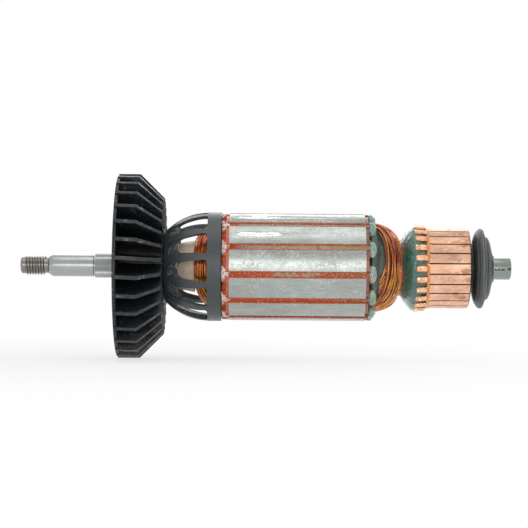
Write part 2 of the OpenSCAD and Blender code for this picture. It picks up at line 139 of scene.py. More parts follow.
def makeFloor():
    mesh = bpy.data.meshes.new("floor")
    bm = bmesh.new()
    bmesh.ops.create_grid(bm, x_segments=1, y_segments=1, size=studio["floorSize"] / 2 * mm)
    bmesh.ops.translate(bm, verts=bm.verts, vec=(0, 0, studio["floorZ"] * mm))
    bm.to_mesh(mesh)
    bm.free()
    floor = bpy.data.objects.new("floor", mesh)
    bpy.context.scene.collection.objects.link(floor)
    material = bpy.data.materials.new("floor")
    material.use_nodes = True
    tree = material.node_tree
    tree.nodes.remove(tree.nodes["Principled BSDF"])
    diffuse = addNode(tree, "BsdfDiffuse")
    diffuse.inputs["Color"].default_value = (0.9, 0.9, 0.9, 1)
    mix = addNode(tree, "MixShader")
    place = addNode(tree, "TexCoord").outputs["Object"]
    away = addNode(tree, "VectorMath", operation="LENGTH")
    plug(tree, place, away.inputs[0])
    fade = addNode(tree, "MapRange", clamp=True, interpolation_type="SMOOTHSTEP")
    fade.inputs["From Max"].default_value = studio["shadowReach"] * mm
    fade.inputs["To Min"].default_value = 1 - studio["shadowShare"]
    fade.inputs["To Max"].default_value = 1.0
    plug(tree, away.outputs["Value"], fade.inputs["Value"])
    plug(tree, calc(tree, "MULTIPLY", seenByEye(tree), fade.outputs[0]), mix.inputs[0])
    plug(tree, diffuse.outputs[0], mix.inputs[1])
    glow = addNode(tree, "Emission")
    path = addNode(tree, "LightPath")
    shine = calc(tree, "MULTIPLY", path.outputs["Is Glossy Ray"], studio["floorShine"])
    plug(tree, calc(tree, "ADD", shine, 1.0), glow.inputs["Strength"])
    plug(tree, glow.outputs[0], mix.inputs[2])
    plug(tree, mix.outputs[0], tree.nodes["Material Output"].inputs["Surface"])
    mesh.materials.append(material)


def makeLamp(name, place, power, width, height):
    lamp = bpy.data.lights.new(name, "AREA")
    lamp.shape = "RECTANGLE"
    lamp.size, lamp.size_y = width * mm, height * mm
    lamp.energy = power
    holder = bpy.data.objects.new(name, lamp)
    holder.location = Vector(place) * mm
    aim = Vector((70, 0, 0)) - Vector(place)
    holder.rotation_euler = aim.to_track_quat("-Z", "Y").to_euler()
    holder.visible_camera = False
    bpy.context.scene.collection.objects.link(holder)


makeWorld()
makeFloor()
makeLamp("frontLamp", (70, -620, -40), 1.7, 480, 400)
makeLamp("topLamp", (70, -120, 660), 0.9, 500, 400)
makeLamp("backLamp", (70, 640, 320), 1.3, 500, 400)
print("camera, lamps and floor made")


def makeGroup(name, inputs, outputs):
    group = bpy.data.node_groups.new(name, "ShaderNodeTree")
    for label, kind, start in inputs:
        socket = group.interface.new_socket(label, in_out="INPUT", socket_type="NodeSocket" + kind)
        if start is not None:
            socket.default_value = start
    for label, kind in outputs:
        group.interface.new_socket(label, in_out="OUTPUT", socket_type="NodeSocket" + kind)
    return group, group.nodes.new("NodeGroupInput"), group.nodes.new("NodeGroupOutput")


def remap(tree, source, low, high, smooth=False):
    made = addNode(tree, "MapRange", clamp=True)
    if smooth:
        made.interpolation_type = "SMOOTHSTEP"
    plug(tree, low, made.inputs["From Min"])
    plug(tree, high, made.inputs["From Max"])
    plug(tree, source, made.inputs["Value"])
    return made.outputs["Result"]


def cloudGroup():  # soft patches
    group, given, made = makeGroup("clouds", [("Vector", "Vector", None), ("Scale", "Float", 1.0),
                                              ("Low", "Float", 0.45), ("High", "Float", 0.6)],
                                   [("Mask", "Float")])
    cloud = addNode(group, "TexNoise")
    cloud.inputs["Detail"].default_value = 4.0
    cloud.inputs["Roughness"].default_value = 0.62
    plug(group, given.outputs["Vector"], cloud.inputs["Vector"])
    plug(group, given.outputs["Scale"], cloud.inputs["Scale"])
    mask = remap(group, cloud.outputs["Fac"], given.outputs["Low"], given.outputs["High"])
    plug(group, mask, made.inputs["Mask"])
    return group


def speckGroup():  # small separate dots: dust and resin specks, and the painted glints on the slot film and wedges
    group, given, made = makeGroup("specks", [("Vector", "Vector", None), ("Scale", "Float", 1.0),
                                              ("Size", "Float", 0.2), ("Share", "Float", 0.5)],
                                   [("Mask", "Float")])
    cells = addNode(group, "TexVoronoi")
    plug(group, given.outputs["Vector"], cells.inputs["Vector"])
    plug(group, given.outputs["Scale"], cells.inputs["Scale"])
    dot = calc(group, "LESS_THAN", cells.outputs["Distance"], given.outputs["Size"])
    parts = addNode(group, "SeparateColor")
    plug(group, cells.outputs["Color"], parts.inputs[0])
    kept = calc(group, "LESS_THAN", parts.outputs[0], given.outputs["Share"])
    plug(group, calc(group, "MULTIPLY", dot, kept), made.inputs["Mask"])
    return group


def turningGroup():  # fine marks that a lathe leaves around the shaft
    group, given, made = makeGroup("turning", [("Vector", "Vector", None), ("Scale", "Float", 6.0)],
                                   [("Height", "Float")])
    parts = addNode(group, "SeparateXYZ")
    plug(group, given.outputs["Vector"], parts.inputs[0])
    lines = addNode(group, "TexNoise", noise_dimensions="1D")
    lines.inputs["Detail"].default_value = 3.0
    plug(group, calc(group, "MULTIPLY", parts.outputs[0], given.outputs["Scale"]), lines.inputs["W"])
    plug(group, lines.outputs["Fac"], made.inputs["Height"])
    return group


def roundGroup():  # place around the shaft
    group, given, made = makeGroup("around", [("Vector", "Vector", None)],
                                   [("Along", "Float"), ("Radius", "Float"), ("Angle", "Float")])
    parts = addNode(group, "SeparateXYZ")
    plug(group, given.outputs["Vector"], parts.inputs[0])
    squares = calc(group, "ADD", calc(group, "MULTIPLY", parts.outputs[1], parts.outputs[1]),
                   calc(group, "MULTIPLY", parts.outputs[2], parts.outputs[2]))
    plug(group, parts.outputs[0], made.inputs["Along"])
    plug(group, calc(group, "SQRT", squares), made.inputs["Radius"])
    plug(group, calc(group, "ARCTAN2", parts.outputs[2], parts.outputs[1]), made.inputs["Angle"])
    return group


clouds, specks, turning, around = cloudGroup(), speckGroup(), turningGroup(), roundGroup()


class Finish:  # one material with its shader and the helpers that fill it
    def __init__(self, name, color, roughness, metallic=0.0, specular=0.5, coat=0.0, coatRoughness=0.08):
        self.material = bpy.data.materials.new(name)
        self.material.use_nodes = True
        self.tree = self.material.node_tree
        self.shader = self.tree.nodes["Principled BSDF"]
        self.shader.inputs["Metallic"].default_value = metallic
        self.shader.inputs["Specular IOR Level"].default_value = specular
        self.shader.inputs["Coat Weight"].default_value = coat
        self.shader.inputs["Coat Roughness"].default_value = coatRoughness
        self.shader.inputs["Base Color"].default_value = (*color, 1)
        self.shader.inputs["Roughness"].default_value = roughness
        self.color, self.roughness, self.height = color, roughness, None
        coords = addNode(self.tree, "TexCoord")
        mapping = addNode(self.tree, "Mapping")
        mapping.inputs["Scale"].default_value = (1 / mm, 1 / mm, 1 / mm)
        self.tree.links.new(coords.outputs["Object"], mapping.inputs["Vector"])
        self.place = mapping.outputs["Vector"]

    def stretched(self, x, y, z):
        mapping = addNode(self.tree, "Mapping")
        mapping.inputs["Scale"].default_value = (x, y, z)
        plug(self.tree, self.place, mapping.inputs["Vector"])
        return mapping.outputs["Vector"]

    def use(self, group, place=None, **values):
        made = addNode(self.tree, "Group")
        made.node_tree = group
        plug(self.tree, place or self.place, made.inputs["Vector"])
        for label, given in values.items():
            plug(self.tree, given, made.inputs[label])
        return made.outputs

    def clouds(self, scale, low, high, place=None):
        return self.use(clouds, place, Scale=scale, Low=low, High=high)["Mask"]

    def specks(self, scale, size, share, place=None):
        return self.use(specks, place, Scale=scale, Size=size, Share=share)["Mask"]

    def calc(self, operation, first, second=None, clamp=False):
        return calc(self.tree, operation, first, second, clamp)

    def remap(self, source, low, high, smooth=True):
        return remap(self.tree, source, low, high, smooth)

    def tint(self, mask, color, amount=1.0):
        made = addNode(self.tree, "Mix", data_type="RGBA")
        if amount != 1.0:
            mask = self.calc("MULTIPLY", mask, amount)
        plug(self.tree, mask, made.inputs["Factor"])
        plug(self.tree, self.color, made.inputs[6])
        plug(self.tree, color, made.inputs[7])
        self.color = made.outputs[2]
        plug(self.tree, self.color, self.shader.inputs["Base Color"])

    def polish(self, mask, roughness):
        made = addNode(self.tree, "Mix", data_type="FLOAT")
        plug(self.tree, mask, made.inputs[0])
        plug(self.tree, self.roughness, made.inputs[2])
        plug(self.tree, roughness, made.inputs[3])
        self.roughness = made.outputs[0]
        plug(self.tree, self.roughness, self.shader.inputs["Roughness"])

    def emboss(self, height, distance):  # distance in millimetres
        made = addNode(self.tree, "Bump")
        made.inputs["Distance"].default_value = distance * mm
        plug(self.tree, height, made.inputs["Height"])
        if self.height is not None:
            plug(self.tree, self.height, made.inputs["Normal"])
        self.height = made.outputs["Normal"]
        plug(self.tree, self.height, self.shader.inputs["Normal"])


def steelFinish():
    steel = Finish("groundSteel", (0.34, 0.36, 0.35), 0.22, metallic=1.0)
    steel.tint(steel.clouds(0.3, 0.4, 0.7, steel.stretched(0.3, 1, 1)), (0.29, 0.30, 0.29), 0.8)
    parts = addNode(steel.tree, "SeparateXYZ")
    plug(steel.tree, steel.place, parts.inputs[0])
    rear = steel.remap(parts.outputs[0], shieldEndX - 1, shieldEndX)
    steel.tint(rear, (0.20, 0.235, 0.21), 0.9)
    # dark marks at the centre height of the rear journal, also on its end face: a painted reflection
    darkReflection = steel.remap(steel.calc("ABSOLUTE", steel.calc("ADD", parts.outputs[2], 0.2)), 0.55, 0.3)
    darkReflection = steel.calc("MULTIPLY", darkReflection, steel.clouds(0.45, 0.46, 0.50, steel.stretched(1, 2, 2)))
    steel.tint(steel.calc("MULTIPLY", darkReflection, rear), (0.012, 0.014, 0.013), 0.95)
    place = steel.use(around)
    nose = steel.remap(place["Along"], -8.6, -9.6)
    deep = steel.remap(place["Radius"], 3.45, 3.05)
    steel.tint(steel.calc("MULTIPLY", nose, deep), (0.13, 0.10, 0.075), 0.85)
    steel.tint(nose, (0.27, 0.265, 0.235), 0.5)
    steel.polish(steel.clouds(0.4, 0.4, 0.7), 0.26)
    steel.emboss(steel.use(turning, Scale=7.0)["Height"], 0.02)
    return steel.material


def fanFinish():
    black = Finish("dustyNylon", (0.0075, 0.0092, 0.0115), 0.38, specular=0.4)
    place = black.use(around)
    envelope = black.calc("MINIMUM", fanR, black.calc("SUBTRACT", fanEndX + 24.9, place["Along"]))
    tip = black.remap(black.calc("SUBTRACT", place["Radius"], envelope), -0.3, -0.05)
    tip = black.calc("MULTIPLY", tip, black.remap(place["Along"], fanX + 1.2, fanX + 1.6))
    # blade tips a little lighter: painted highlight
    black.tint(tip, (0.017, 0.020, 0.023), 0.8)
    dusty = black.remap(black.calc("ABSOLUTE", black.calc("ADD", place["Radius"], -31)), 6, 1)
    dustScuffAndSheen = black.calc("MULTIPLY", black.clouds(0.9, 0.62, 0.66), black.clouds(0.1, 0.48, 0.58))
    black.tint(black.calc("MULTIPLY", dustScuffAndSheen, dusty), (0.50, 0.52, 0.54), 0.9)
    # light grey on the blade tips: scuffs and painted highlight
    dustScuffAndSheen = black.clouds(0.55, 0.56, 0.66)
    black.tint(black.calc("MULTIPLY", tip, dustScuffAndSheen), (0.25, 0.26, 0.27), 0.45)
    black.tint(black.specks(1.7, 0.17, 0.35), (0.32, 0.33, 0.34), 0.8)
    black.tint(black.specks(0.8, 0.10, 0.5), (0.45, 0.46, 0.47), 0.8)
    black.tint(black.clouds(0.12, 0.5, 0.7), (0.018, 0.021, 0.024), 0.6)
    black.polish(black.clouds(0.7, 0.4, 0.6), 0.5)
    black.emboss(black.clouds(2.2, 0.3, 0.7), 0.03)
    return black.material


def fanEdgeFinish():  # lighter colour for the bevelled corners: painted highlight along the blade edges
    edge = Finish("nylonEdges", (0.060, 0.066, 0.070), 0.33)
    edge.tint(edge.clouds(0.5, 0.45, 0.6), (0.025, 0.029, 0.032), 0.9)
    edge.tint(edge.clouds(0.9, 0.62, 0.7), (0.22, 0.23, 0.24), 0.8)
    return edge.material


def panelFinish():  # mottled recesses of the guard
    grey = Finish("mottledNylon", (0.036, 0.046, 0.049), 0.30, coat=0.3)
    grey.tint(grey.clouds(0.5, 0.48, 0.60), (0.105, 0.120, 0.120), 0.9)
    near = grey.remap(grey.use(around)["Along"], 39.5, 37.5)
    grain = grey.calc("MULTIPLY", grey.clouds(1.6, 0.54, 0.60), grey.clouds(0.3, 0.44, 0.54))
    grey.tint(grey.calc("MULTIPLY", grain, near), (0.52, 0.56, 0.55), 0.9)
    grey.tint(grey.clouds(0.8, 0.60, 0.66), (0.014, 0.018, 0.019), 0.8)
    grey.emboss(grey.clouds(1.1, 0.3, 0.7), 0.25)
    return grey.material


def guardFinish():
    grey = Finish("greyNylon", (0.046, 0.057, 0.061), 0.36, specular=0.5)
    grey.tint(grey.clouds(0.18, 0.4, 0.7), (0.058, 0.070, 0.075), 0.8)
    grey.tint(grey.specks(1.3, 0.12, 0.25), (0.30, 0.32, 0.33), 0.5)
    grey.polish(grey.clouds(0.8, 0.4, 0.6), 0.44)
    grey.emboss(grey.clouds(1.5, 0.3, 0.7), 0.04)
    return grey.material


def creamFinish():
    cream = Finish("creamPlastic", (0.72, 0.62, 0.48), 0.35)
    cream.tint(cream.clouds(0.35, 0.45, 0.65), (0.58, 0.44, 0.30), 0.7)
    cream.tint(cream.clouds(0.9, 0.62, 0.7), (0.40, 0.16, 0.06), 0.5)
    cream.emboss(cream.clouds(0.9, 0.3, 0.7), 0.03)
    return cream.material


def plateFinish(name, color, dark):
    plate = Finish(name, color, 0.38, coat=0.4)
    plate.tint(plate.clouds(0.5, 0.42, 0.62), dark, 0.8)
    plate.tint(plate.specks(1.6, 0.16, 0.35), (0.85, 0.72, 0.60), 0.7)
    plate.emboss(plate.clouds(1.2, 0.3, 0.7), 0.12)
    return plate.material


def coreFinish():
    iron = Finish("varnishedSteelSheets", (0.29, 0.31, 0.285), 0.24, metallic=0.8)
    iron.tint(iron.clouds(0.10, 0.35, 0.65, iron.stretched(0.5, 1, 1)), (0.38, 0.41, 0.395))
    streak = iron.clouds(0.9, 0.52, 0.68, iron.stretched(0.25, 1, 1))
    iron.tint(streak, (0.23, 0.24, 0.21), 0.5)
    milky = iron.calc("MULTIPLY", iron.clouds(0.12, 0.46, 0.62), iron.clouds(1.4, 0.52, 0.60))
    iron.tint(milky, (0.55, 0.58, 0.565), 0.6)
    place = iron.use(around)
    flat = iron.remap(place["Radius"], coreR - 0.06, coreR - 0.12)
    iron.tint(flat, (0.86, 0.86, 0.82), 0.95)
    iron.tint(iron.calc("MULTIPLY", flat, iron.clouds(1.3, 0.52, 0.58)), (0.40, 0.34, 0.25), 0.7)
    iron.polish(iron.clouds(0.7, 0.45, 0.62), 0.34)
    iron.polish(flat, 0.2)
    sheets = iron.use(turning, Scale=2.0)["Height"]
    iron.emboss(sheets, 0.02)
    iron.emboss(milky, 0.05)
    return iron.material


def linerFinish():
    film = Finish("redFilm", (0.66, 0.085, 0.016), 0.34, specular=0.3, coat=0.1)
    along = film.use(around)["Along"]
    film.tint(film.remap(along, 84.0, 108.0), (0.42, 0.13, 0.040), 0.8)
    film.tint(film.clouds(0.8, 0.45, 0.62), (0.70, 0.135, 0.035), 0.8)
    glints = film.specks(2.4, 0.30, 0.5)
    film.tint(film.calc("MULTIPLY", glints, film.clouds(0.22, 0.42, 0.52)), (0.92, 0.72, 0.55))
    film.tint(film.clouds(1.1, 0.60, 0.66), (0.30, 0.030, 0.010), 0.7)
    end = film.remap(along, coreEndX + 0.1, coreEndX + 0.35)
    film.tint(end, (0.065, 0.075, 0.055), 0.9)
    film.tint(film.calc("MULTIPLY", end, film.clouds(0.45, 0.50, 0.55)), (0.50, 0.13, 0.035), 0.9)
    film.tint(film.calc("MULTIPLY", end, film.clouds(1.0, 0.60, 0.64)), (0.85, 0.80, 0.72), 0.9)
    film.emboss(film.clouds(1.8, 0.3, 0.7), 0.25)
    return film.material


def wedgeFinish():
    wedge = Finish("slotResin", (0.60, 0.090, 0.018), 0.34, specular=0.35, coat=0.15)
    parts = addNode(wedge.tree, "SeparateXYZ")
    plug(wedge.tree, wedge.place, parts.inputs[0])
    upper = wedge.remap(parts.outputs[2], -1.0, 3.4)
    pale = wedge.calc("MULTIPLY", upper, wedge.remap(parts.outputs[0], 57.0, 63.0))
    wedge.tint(pale, (0.50, 0.45, 0.32))
    patch = wedge.calc("MULTIPLY", wedge.remap(parts.outputs[0], 70.0, 74.0),
                       wedge.remap(parts.outputs[0], 92.0, 86.0))
    patch = wedge.calc("MULTIPLY", patch, wedge.remap(parts.outputs[2], -4.5, -3.0))
    wedge.tint(wedge.calc("MULTIPLY", patch, wedge.clouds(0.7, 0.4, 0.5)), (0.50, 0.42, 0.30))
    wedge.tint(wedge.remap(parts.outputs[0], 84.0, 106.0), (0.40, 0.19, 0.08), 0.6)
    dark = wedge.clouds(0.8, 0.58, 0.64, wedge.stretched(0.6, 1, 1))
    wedge.tint(dark, (0.16, 0.10, 0.045), 0.7)
    # white specks on the wedges: painted glints
    paintedGlints = wedge.calc("MULTIPLY", wedge.specks(2.0, 0.30, 0.45), wedge.clouds(0.3, 0.40, 0.52))
    wedge.tint(paintedGlints, (0.95, 0.86, 0.74))
    wedge.emboss(wedge.clouds(1.6, 0.3, 0.7), 0.3)
    return wedge.material


def lumpFinish():
    pale = Finish("cloudyResin", (0.40, 0.51, 0.43), 0.20, coat=0.8)
    pale.shader.inputs["Subsurface Weight"].default_value = 0.2
    pale.shader.inputs["Subsurface Scale"].default_value = 0.6 * mm
    pale.tint(pale.clouds(0.55, 0.45, 0.62), (0.60, 0.69, 0.60), 0.8)
    parts = addNode(pale.tree, "SeparateXYZ")
    plug(pale.tree, pale.place, parts.inputs[0])
    # lumps above and below the centre height painted darker green: painted shade
    sides = pale.calc("ABSOLUTE", pale.calc("ADD", parts.outputs[2], 1.5))
    pale.tint(pale.remap(sides, 5.5, 12.0), (0.16, 0.34, 0.26), 0.85)
    # dents of the lumps painted darker: painted shade in the creases
    creaseShade = addNode(pale.tree, "Attribute", attribute_name="creaseShade")
    pale.tint(creaseShade.outputs["Fac"], (0.14, 0.24, 0.18), 0.85)
    pale.tint(pale.clouds(0.9, 0.60, 0.68), (0.16, 0.33, 0.24), 0.6)
    pale.emboss(pale.clouds(1.4, 0.3, 0.7), 0.12)
    return pale.material


def filmEndFinish():
    film = Finish("crumpledFilm", (0.92, 0.80, 0.70), 0.18, coat=0.9)
    film.tint(film.clouds(0.6, 0.50, 0.55), (0.66, 0.080, 0.020), 0.95)
    film.tint(film.clouds(1.3, 0.56, 0.60), (0.98, 0.95, 0.92))
    film.tint(film.clouds(1.0, 0.60, 0.64), (0.10, 0.020, 0.012), 0.9)
    film.emboss(film.clouds(1.6, 0.3, 0.7), 0.3)
    return film.material


def darkResinFinish():
    resin = Finish("darkResin", (0.035, 0.068, 0.056), 0.25, coat=0.6)
    resin.tint(resin.clouds(0.45, 0.45, 0.65), (0.075, 0.095, 0.085), 0.8)
    resin.tint(resin.clouds(0.8, 0.60, 0.66), (0.30, 0.11, 0.035), 0.7)
    resin.emboss(resin.clouds(0.9, 0.3, 0.7), 0.3)
    return resin.material


def wireFinish():
    wire = Finish("enamelledWire", (0.52, 0.105, 0.010), 0.20, metallic=0.55, coat=0.9)
    tone = addNode(wire.tree, "Attribute", attribute_name="tone")
    wire.tint(wire.remap(tone.outputs["Fac"], 0.50, 0.95), (0.80, 0.26, 0.020))
    # front winding head, inside the guard, painted brighter and more orange: painted light
    wire.tint(wire.remap(wire.use(around)["Along"], 55.0, 53.0), (0.86, 0.135, 0.008), 0.75)
    wire.tint(wire.remap(tone.outputs["Fac"], 0.35, 0.0), (0.20, 0.035, 0.008))
    parts = addNode(wire.tree, "SeparateXYZ")
    plug(wire.tree, wire.place, parts.inputs[0])
    gold = wire.calc("MULTIPLY", wire.remap(parts.outputs[2], 4.0, -6.0), wire.clouds(0.2, 0.40, 0.52))
    wire.tint(gold, (0.80, 0.33, 0.02), 0.7)
    wire.tint(wire.clouds(0.3, 0.54, 0.68), (0.16, 0.030, 0.008), 0.7)
    wire.tint(wire.clouds(1.1, 0.66, 0.70), (0.95, 0.75, 0.40), 0.7)
    return wire.material


def coilFinish():
    under = Finish("coilUnderlay", (0.30, 0.075, 0.012), 0.35, metallic=0.5, coat=0.5)
    under.tint(under.clouds(0.6, 0.42, 0.62), (0.12, 0.025, 0.006), 0.8)
    under.tint(under.clouds(1.4, 0.60, 0.68), (0.60, 0.25, 0.05), 0.6)
    under.emboss(under.clouds(1.5, 0.3, 0.7), 0.25)
    return under.material


def neckFinish():
    neck = Finish("varnishedLeads", (0.25, 0.095, 0.062), 0.26, coat=0.6)
    neck.tint(neck.clouds(0.22, 0.45, 0.60), (0.36, 0.17, 0.13), 0.9)
    neck.tint(neck.clouds(0.40, 0.55, 0.63), (0.42, 0.13, 0.025), 0.9)
    neck.tint(neck.clouds(0.5, 0.60, 0.65), (0.03, 0.03, 0.025), 0.9)
    along = neck.calc("ADD", neck.use(around)["Along"], neck.calc("MULTIPLY", neck.clouds(0.3, 0.3, 0.7), 1.2))
    neck.tint(neck.remap(along, neckX + 2.0, neckX + 2.4), (0.016, 0.115, 0.080))
    neck.emboss(neck.clouds(0.8, 0.3, 0.7), 0.3)
    return neck.material


def resinFinish():
    green = Finish("greenResin", (0.014, 0.100, 0.070), 0.17, coat=0.8)
    green.tint(green.clouds(0.28, 0.42, 0.62), (0.022, 0.150, 0.120), 0.8)
    green.tint(green.specks(1.5, 0.22, 0.35), (0.22, 0.42, 0.38), 0.7)
    edge = green.remap(green.use(around)["Along"], barX - 3.6, barX - 1.2)
    brown = green.calc("MULTIPLY", edge, green.clouds(0.6, 0.42, 0.55))
    green.tint(brown, (0.40, 0.14, 0.045), 0.8)
    green.emboss(green.clouds(0.55, 0.3, 0.7), 0.35)
    return green.material


def copperFinish():
    copper = Finish("commutatorCopper", (0.66, 0.375, 0.245), 0.30, metallic=0.85)
    place = copper.use(around)
    copper.tint(copper.clouds(0.14, 0.40, 0.62), (0.72, 0.44, 0.31), 0.9)
    aft = copper.remap(place["Along"], 131.0, 142.0)
    stain = copper.clouds(0.42, 0.50, 0.60, copper.stretched(0.5, 1, 1))
    copper.tint(copper.calc("MULTIPLY", stain, copper.calc("ADD", aft, 0.25)), (0.34, 0.17, 0.095), 0.7)
    copper.tint(copper.clouds(1.5, 0.60, 0.66), (0.40, 0.20, 0.11), 0.45)
    copper.tint(copper.clouds(0.5, 0.58, 0.66), (0.85, 0.62, 0.48), 0.7)
    # flanks of the bars below the running surface painted dark: painted shade in the gaps between the bars
    low = copper.remap(place["Radius"], trackR - 0.12, trackR - 0.45)
    copper.tint(copper.calc("MULTIPLY", low, copper.remap(place["Along"], barX, barX + 0.4)),
                (0.16, 0.060, 0.028), 0.9)
    hook = copper.remap(place["Along"], barX + 0.5, barX - 0.5)
    copper.tint(hook, (0.80, 0.42, 0.20), 0.8)
    shoulder = copper.calc("MULTIPLY", copper.remap(place["Along"], barX + 1.3, barX + 1.0),
                           copper.remap(place["Along"], barX - 0.1, barX + 0.1))
    copper.tint(shoulder, (0.66, 0.25, 0.06), 0.7)
    copper.polish(copper.clouds(0.6, 0.4, 0.62), 0.42)
    copper.emboss(copper.use(turning, Scale=5.0)["Height"], 0.015)
    return copper.material


def mouldingFinish():
    brown = Finish("phenolicMoulding", (0.085, 0.040, 0.024), 0.5)
    brown.tint(brown.clouds(0.9, 0.45, 0.6), (0.17, 0.085, 0.05), 0.8)
    # black from just behind the bars' ends: painted shade in the gap in front of the shield
    rear = brown.remap(brown.use(around)["Along"], barEndX + 0.1, barEndX + 0.4)
    brown.tint(rear, (0.006, 0.006, 0.006))
    return brown.material


def brassFinish():
    brass = Finish("turnedBrass", (0.55, 0.40, 0.16), 0.32, metallic=1.0)
    brass.tint(brass.clouds(0.6, 0.45, 0.65), (0.35, 0.23, 0.08), 0.7)
    brass.emboss(brass.use(turning, Scale=6.0)["Height"], 0.02)
    return brass.material


def rubberFinish():
    rubber = Finish("greyRubber", (0.060, 0.067, 0.070), 0.42, specular=0.4)
    rubber.tint(rubber.clouds(0.25, 0.42, 0.62), (0.080, 0.088, 0.092), 0.8)
    rubber.tint(rubber.specks(1.6, 0.12, 0.3), (0.30, 0.31, 0.32), 0.6)
    along = rubber.use(around)["Along"]
    along = rubber.calc("ADD", along, rubber.calc("MULTIPLY", rubber.clouds(0.15, 0.3, 0.7), 0.5))
    # painted light and shade: light bands are painted highlights on the ridges, dark bands painted shade in the grooves
    for at, half, color in ((0.95, 0.16, (0.20, 0.21, 0.215)), (1.5, 0.12, (0.02, 0.022, 0.024)),
                            (2.75, 0.22, (0.21, 0.22, 0.225)), (3.5, 0.14, (0.03, 0.033, 0.035)),
                            (4.4, 0.20, (0.012, 0.014, 0.016)), (5.1, 0.16, (0.17, 0.18, 0.185))):
        near = rubber.calc("ABSOLUTE", rubber.calc("SUBTRACT", along, shieldX + at))
        rubber.tint(rubber.remap(near, half, half * 0.4), color, 0.75)
    # rear slope of the shield painted darker: painted shade
    rubber.tint(rubber.remap(along, shieldX + 5.7, shieldX + 6.1), (0.022, 0.026, 0.027), 0.8)
    rubber.polish(rubber.clouds(0.6, 0.4, 0.62), 0.55)
    rubber.emboss(rubber.clouds(1.8, 0.3, 0.7), 0.03)
    return rubber.material


def hookFinish():
    hook = Finish("hookCopperPaintedLight", (0.72, 0.33, 0.15), 0.24, metallic=0.7, coat=0.4)
    hook.tint(hook.clouds(0.5, 0.45, 0.60), (0.86, 0.52, 0.30), 0.9)
    # white patches: painted highlights
    hook.tint(hook.clouds(0.8, 0.58, 0.62), (0.96, 0.88, 0.78))
    hook.tint(hook.clouds(0.9, 0.60, 0.66), (0.30, 0.09, 0.03), 0.9)
    # lower sides of the hooks painted dark: painted shade
    hook.tint(hook.remap(hook.use(around)["Radius"], 15.15, 14.9), (0.06, 0.035, 0.02), 0.9)
    hook.emboss(hook.clouds(1.2, 0.3, 0.7), 0.15)
    return hook.material


def shoulderFinish():
    ring = Finish("coppersolder", (0.62, 0.21, 0.045), 0.24, metallic=0.6, coat=0.5)
    ring.tint(ring.clouds(0.8, 0.45, 0.6), (0.80, 0.38, 0.12), 0.9)
    ring.tint(ring.clouds(1.1, 0.60, 0.66), (0.95, 0.80, 0.55))
    ring.tint(ring.clouds(0.9, 0.62, 0.68), (0.25, 0.07, 0.02))
    ring.emboss(ring.clouds(1.5, 0.3, 0.7), 0.3)
    return ring.material


finishes = {
    "shaft": steelFinish(), "fan": fanFinish(), "winding_guard": guardFinish(),
    "front_shaft_sleeve": creamFinish(),
    "front_end_plate": plateFinish("frontFibre", (0.60, 0.125, 0.050), (0.45, 0.075, 0.030)),
    "rear_end_plate": plateFinish("rearFibre", (0.34, 0.105, 0.050), (0.12, 0.035, 0.020)),
    "lamination_stack": coreFinish(), "slot_liners": linerFinish(), "slot_wedges": wedgeFinish(),
    "rear_shaft_sleeve": plateFinish("brownTube", (0.20, 0.09, 0.05), (0.10, 0.05, 0.03)),
    "lead_bundle": neckFinish(), "resin_collar": resinFinish(), "commutator_body": mouldingFinish(),
    "commutator_bush": brassFinish(), "dust_shield": rubberFinish(),
    "coils": coilFinish(), "commutator_bars": copperFinish(),
}
extras = {"panel": panelFinish(), "wire": wireFinish(), "lump": lumpFinish(), "darkResin": darkResinFinish(),
          "filmEnd": filmEndFinish(), "fanEdge": fanEdgeFinish(), "shoulder": shoulderFinish(),
          "hook": hookFinish()}
for part in frame["record"]["subparts"]:
    mesh = cadNodes[part["node"]].data
    mesh.materials.clear()
    mesh.materials.append(finishes[part["material_slot"]])
print("materials made:", len(finishes) + len(extras))


def addPiece(name, bm, material, smooth=30.0, scale=mm):
    mesh = bpy.data.meshes.new(name)
    bmesh.ops.scale(bm, verts=bm.verts, vec=(scale, scale, scale))
    bm.to_mesh(mesh)
    bm.free()
    piece = bpy.data.objects.new(name, mesh)
    bpy.context.scene.collection.objects.link(piece)
    mesh.materials.append(material)
    if smooth:
        mesh.shade_smooth()
        mesh.set_sharp_from_angle(angle=math.radians(smooth))
    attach(piece, "root")
    return piece


def addModifier(piece, kind, **settings):
    modifier = piece.modifiers.new(kind.lower(), kind)
    for key, given in settings.items():
        setattr(modifier, key, given)
    return modifier


def roundOff(piece, levels):
    addModifier(piece, "SUBSURF", levels=levels, render_levels=levels)


def spinOutline(bm, outline, steps, closed=True):  # outline of (x, radius) around the shaft
    ring = [bm.verts.new((x, 0, r)) for x, r in outline]
    edges = [bm.edges.new(pair) for pair in zip(ring, ring[1:])]
    if closed:
        edges.append(bm.edges.new((ring[-1], ring[0])))
    made = bmesh.ops.spin(bm, geom=ring + edges, cent=(0, 0, 0), axis=(1, 0, 0), dvec=(0, 0, 0),
                          angle=math.tau, steps=steps, use_merge=True, use_duplicate=False)
    bmesh.ops.remove_doubles(bm, verts=bm.verts, dist=1e-4)
    bmesh.ops.recalc_face_normals(bm, faces=bm.faces)
    return made


def softCopy(name, nodeNames, slotName, width, angle=28.0, dissolve=0.5):
    bm = bmesh.new()
    for nodeName in nodeNames:
        bm.from_mesh(cadNodes[nodeName].data)
    bmesh.ops.scale(bm, verts=bm.verts, vec=(1 / mm, 1 / mm, 1 / mm))
    bmesh.ops.remove_doubles(bm, verts=bm.verts, dist=2e-4)
    bmesh.ops.dissolve_limit(bm, angle_limit=math.radians(dissolve), verts=bm.verts, edges=bm.edges)
    piece = addPiece(name, bm, finishes[slotName])
    addModifier(piece, "BEVEL", width=width * mm, segments=2, limit_method="ANGLE",
                angle_limit=math.radians(angle), use_clamp_overlap=True)
    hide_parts(*nodeNames)
    return piece


